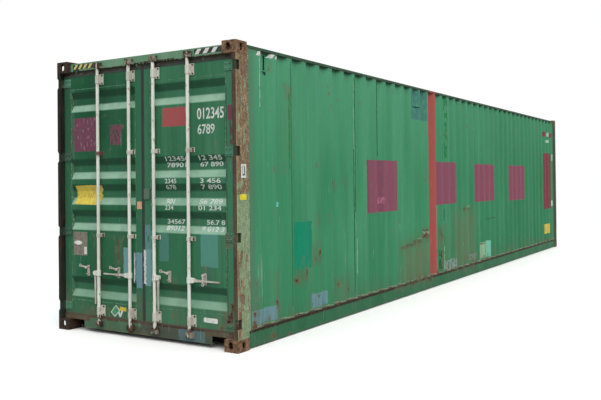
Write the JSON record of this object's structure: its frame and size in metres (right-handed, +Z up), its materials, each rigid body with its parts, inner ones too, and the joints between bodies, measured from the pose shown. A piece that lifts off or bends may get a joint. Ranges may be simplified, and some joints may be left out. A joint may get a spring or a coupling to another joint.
{
  "type": "shipping container",
  "caption": "Long high cube steel freight container with corrugated walls, ribbed roof, hinged end doors, locking rods, plywood floor and corner castings.",
  "frame": {"origin": "middle of the footprint, on the ground under the corner castings", "axes": "+Z up, +Y along the length towards the closed front end, so the doors face -Y; +X across, towards the right-hand side seen from the doors"},
  "size_m": [2.438, 12.192, 2.896],
  "materials": {
    "green_paint": "weathered gloss paint, scuffed, with rust at edges",
    "rusted_paint": "worn green paint over rust",
    "galvanized_steel": "dull zinc with stains",
    "door_seal": "matt",
    "underframe_paint": "dull protective coating",
    "plywood": "worn plywood floor"
  },
  "bodies": {
    "container_frame": {"castings_door_bottom": "rusted_paint", "castings_front_bottom": "rusted_paint", "castings_door_top": "rusted_paint", "castings_front_top": "rusted_paint", "door_post_right": "rusted_paint", "door_post_left": "rusted_paint", "front_posts": "rusted_paint", "door_header": "green_paint", "door_sill": "green_paint", "front_rails": "green_paint", "top_side_rails": "green_paint", "bottom_side_rails": "green_paint", "side_wall_right": "green_paint", "side_wall_left": "green_paint", "front_wall": "green_paint", "roof_panel": "green_paint", "roof_end_plates": "green_paint", "crossmembers": "underframe_paint", "gooseneck_tunnel": "underframe_paint", "floor_boards": "plywood", "cam_keepers": "galvanized_steel"},
    "door_left": {"door_left_frame": "green_paint", "door_left_panel": "green_paint", "door_left_gasket": "door_seal", "door_left_hinges": "green_paint", "door_left_rod_brackets": "galvanized_steel", "door_left_catches": "galvanized_steel"},
    "door_right": {"door_right_frame": "green_paint", "door_right_panel": "green_paint", "door_right_gasket": "door_seal", "door_right_hinges": "green_paint", "door_right_rod_brackets": "galvanized_steel", "door_right_catches": "galvanized_steel"},
    "rod_1": {"locking_rod_1": "galvanized_steel"},
    "handle_1": {"handle_1": "galvanized_steel"},
    "hasp_1": {"hasp_1": "galvanized_steel"},
    "rod_2": {"locking_rod_2": "galvanized_steel"},
    "handle_2": {"handle_2": "galvanized_steel"},
    "hasp_2": {"hasp_2": "galvanized_steel"},
    "rod_3": {"locking_rod_3": "galvanized_steel"},
    "handle_3": {"handle_3": "galvanized_steel"},
    "hasp_3": {"hasp_3": "galvanized_steel"},
    "rod_4": {"locking_rod_4": "galvanized_steel"},
    "handle_4": {"handle_4": "galvanized_steel"},
    "hasp_4": {"hasp_4": "galvanized_steel"}
  },
  "joints": [
    {"name": "door_left_swing", "type": "hinge", "parent": "container_frame", "child": "door_left", "pos_m": [-1.197, -6.076, 0.26], "axis": [0, 0, -1], "range_deg": [0, 260]},
    {"name": "door_right_swing", "type": "hinge", "parent": "container_frame", "child": "door_right", "pos_m": [1.197, -6.076, 0.26], "axis": [0, 0, 1], "range_deg": [0, 260]},
    {"name": "rod_1_turn", "type": "hinge", "parent": "door_left", "child": "rod_1", "pos_m": [-0.617, -6.072, 0.635], "axis": [0, 0, -1], "range_deg": [-100, 0]},
    {"name": "rod_2_turn", "type": "hinge", "parent": "door_left", "child": "rod_2", "pos_m": [-0.168, -6.072, 0.635], "axis": [0, 0, -1], "range_deg": [-100, 0]},
    {"name": "rod_3_turn", "type": "hinge", "parent": "door_right", "child": "rod_3", "pos_m": [0.168, -6.072, 0.635], "axis": [0, 0, 1], "range_deg": [-100, 0]},
    {"name": "rod_4_turn", "type": "hinge", "parent": "door_right", "child": "rod_4", "pos_m": [0.617, -6.072, 0.635], "axis": [0, 0, 1], "range_deg": [-100, 0]},
    {"name": "handle_1_lift", "type": "hinge", "parent": "rod_1", "child": "handle_1", "pos_m": [-0.667, -6.072, 0.635], "axis": [0, 1, 0], "range_deg": [0, 90]},
    {"name": "handle_2_lift", "type": "hinge", "parent": "rod_2", "child": "handle_2", "pos_m": [-0.218, -6.072, 0.635], "axis": [0, 1, 0], "range_deg": [-90, 0]},
    {"name": "handle_3_lift", "type": "hinge", "parent": "rod_3", "child": "handle_3", "pos_m": [0.218, -6.072, 0.635], "axis": [0, -1, 0], "range_deg": [0, 90]},
    {"name": "handle_4_lift", "type": "hinge", "parent": "rod_4", "child": "handle_4", "pos_m": [0.667, -6.072, 0.635], "axis": [0, -1, 0], "range_deg": [-90, 0]},
    {"name": "hasp_1_swing", "type": "hinge", "parent": "door_left", "child": "hasp_1", "pos_m": [-0.797, -6.085, 0.69], "axis": [0, -1, 0], "range_deg": [0, 100]},
    {"name": "hasp_2_swing", "type": "hinge", "parent": "door_left", "child": "hasp_2", "pos_m": [-0.348, -6.085, 0.69], "axis": [0, -1, 0], "range_deg": [0, 100]},
    {"name": "hasp_3_swing", "type": "hinge", "parent": "door_right", "child": "hasp_3", "pos_m": [0.348, -6.085, 0.69], "axis": [0, -1, 0], "range_deg": [0, 100]},
    {"name": "hasp_4_swing", "type": "hinge", "parent": "door_right", "child": "hasp_4", "pos_m": [0.797, -6.085, 0.69], "axis": [0, -1, 0], "range_deg": [-100, 0]}
  ]
}
